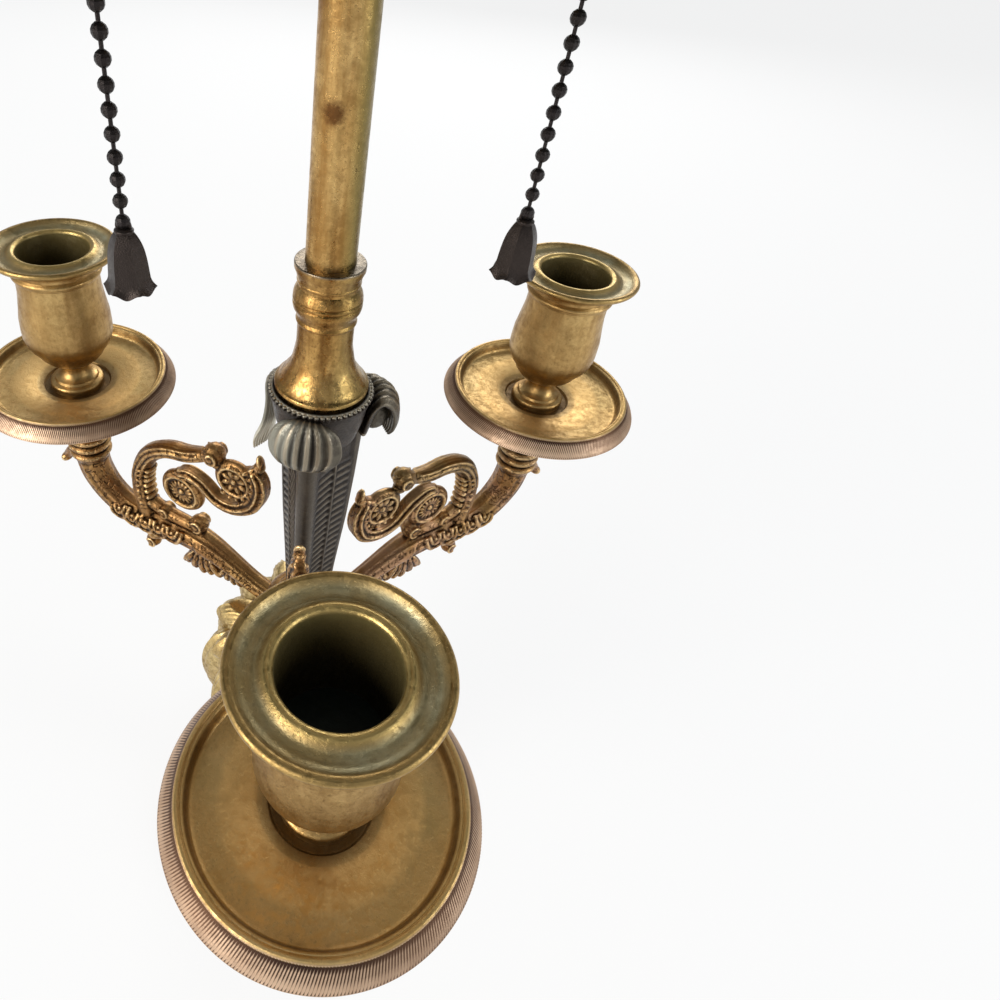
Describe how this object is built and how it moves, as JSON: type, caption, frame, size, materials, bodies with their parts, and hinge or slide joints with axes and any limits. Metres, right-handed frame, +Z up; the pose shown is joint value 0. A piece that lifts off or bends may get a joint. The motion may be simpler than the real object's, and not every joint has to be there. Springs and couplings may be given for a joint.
{
  "type": "bouillotte lamp",
  "caption": "Antique table lamp: cast scroll arms with candle cups and drip pans round a leaf shaft and brass stem, under an adjustable metal shade over pull-chain sockets.",
  "frame": {"origin": "centre of the foot's underside, on the table", "axes": "+Z up along the stem; the front candle arm points along -Y, the side arms towards +X+Y and -X+Y"},
  "size_m": [0.3222, 0.3222, 0.6045],
  "materials": {
    "felt": "green baize",
    "gilt_brass": "cast brass with worn gilding and dark crevices",
    "turned_brass": "turned brass, worn",
    "cup_brass": "turned brass with a greenish grey rim",
    "pan_brass": "speckled tan brass",
    "dark_bronze": "nearly black patinated bronze",
    "stem_brass": "brass tube with worn lacquer",
    "iron": "raw",
    "steel": "zinc plated",
    "black_rubber": "matte",
    "socket_brass": "satin",
    "insulator": "black moulded insulator",
    "fibre": "fibre board",
    "contact_metal": "bright",
    "dark_chain": "nearly black patina",
    "shade_paint": "dark green, satin"
  },
  "bodies": {
    "stand": {"felt_pad": "felt", "base_foot": "gilt_brass", "cord_grommet": "black_rubber", "base_weight": "iron", "base_washer": "steel", "base_nut": "steel", "urn_body": "gilt_brass", "arm_hub": "gilt_brass", "arm_screws": "steel", "arm_front": "gilt_brass", "arm_right": "gilt_brass", "arm_left": "gilt_brass", "pan_front": "pan_brass", "cup_front": "cup_brass", "pan_right": "pan_brass", "cup_right": "cup_brass", "pan_left": "pan_brass", "cup_left": "cup_brass", "cup_studs": "steel", "leaf_shaft": "dark_bronze", "collar": "turned_brass", "stem_tube": "stem_brass", "tie_pipe": "steel", "cluster_body": "socket_brass", "socket_nipple_left": "steel", "socket_cap_left": "socket_brass", "socket_shell_left": "socket_brass", "socket_liner_left": "fibre", "socket_body_left": "insulator", "screw_shell_left": "contact_metal", "centre_contact_left": "contact_metal", "chain_outlet_left": "socket_brass", "socket_nipple_right": "steel", "socket_cap_right": "socket_brass", "socket_shell_right": "socket_brass", "socket_liner_right": "fibre", "socket_body_right": "insulator", "screw_shell_right": "contact_metal", "centre_contact_right": "contact_metal", "chain_outlet_right": "socket_brass", "shade_rod": "socket_brass", "finial": "socket_brass"},
    "shade_group": {"shade_carrier": "socket_brass", "shade_spider": "socket_brass", "shade": "shade_paint"},
    "shade_key": {"shade_key": "socket_brass"},
    "lever_left": {"pull_lever_left": "contact_metal"},
    "link_left": {"pull_link_left": "dark_chain"},
    "chain_left": {"pull_chain_left": "dark_chain", "bell_pull_left": "dark_chain"},
    "lever_right": {"pull_lever_right": "contact_metal"},
    "link_right": {"pull_link_right": "dark_chain"},
    "chain_right": {"pull_chain_right": "dark_chain", "bell_pull_right": "dark_chain"}
  },
  "joints": [
    {"name": "shade_slide", "type": "slide", "parent": "stand", "child": "shade_group", "axis": [0, 0, 1], "range_m": [-0.04, 0.03]},
    {"name": "key_turn", "type": "hinge", "parent": "shade_group", "child": "shade_key", "pos_m": [0, 0, 0.511], "axis": [-0.0872, -0.9962, 0], "range_deg": [0, 180]},
    {"name": "link_travel_left", "type": "slide", "parent": "stand", "child": "link_left", "axis": [0, 0, -1], "range_m": [0, 0.005], "stiffness_N_per_m": 400, "springref_m": -0.002},
    {"name": "lever_turn_left", "type": "hinge", "parent": "stand", "child": "lever_left", "pos_m": [-0.04022, -0.01359, 0.3989], "axis": [0.9781, -0.2079, 0], "range_deg": [0, 41]},
    {"name": "chain_swing_left", "type": "hinge", "parent": "link_left", "child": "chain_left", "pos_m": [-0.04338, -0.02845, 0.39535], "axis": [-0.2079, -0.9781, 0], "range_deg": [-25, 25]},
    {"name": "link_travel_right", "type": "slide", "parent": "stand", "child": "link_right", "axis": [0, 0, -1], "range_m": [0, 0.005], "stiffness_N_per_m": 400, "springref_m": -0.002},
    {"name": "lever_turn_right", "type": "hinge", "parent": "stand", "child": "lever_right", "pos_m": [0.03948, 0.00056, 0.3989], "axis": [0.9954, 0.0958, 0], "range_deg": [0, 41]},
    {"name": "chain_swing_right", "type": "hinge", "parent": "link_right", "child": "chain_right", "pos_m": [0.04094, -0.01457, 0.39535], "axis": [0.0958, -0.9954, 0], "range_deg": [-25, 25]}
  ],
  "couplings": [
    {"joint": "lever_turn_left", "follows": "link_travel_left", "rad_per_m": 140},
    {"joint": "lever_turn_right", "follows": "link_travel_right", "rad_per_m": 140}
  ]
}
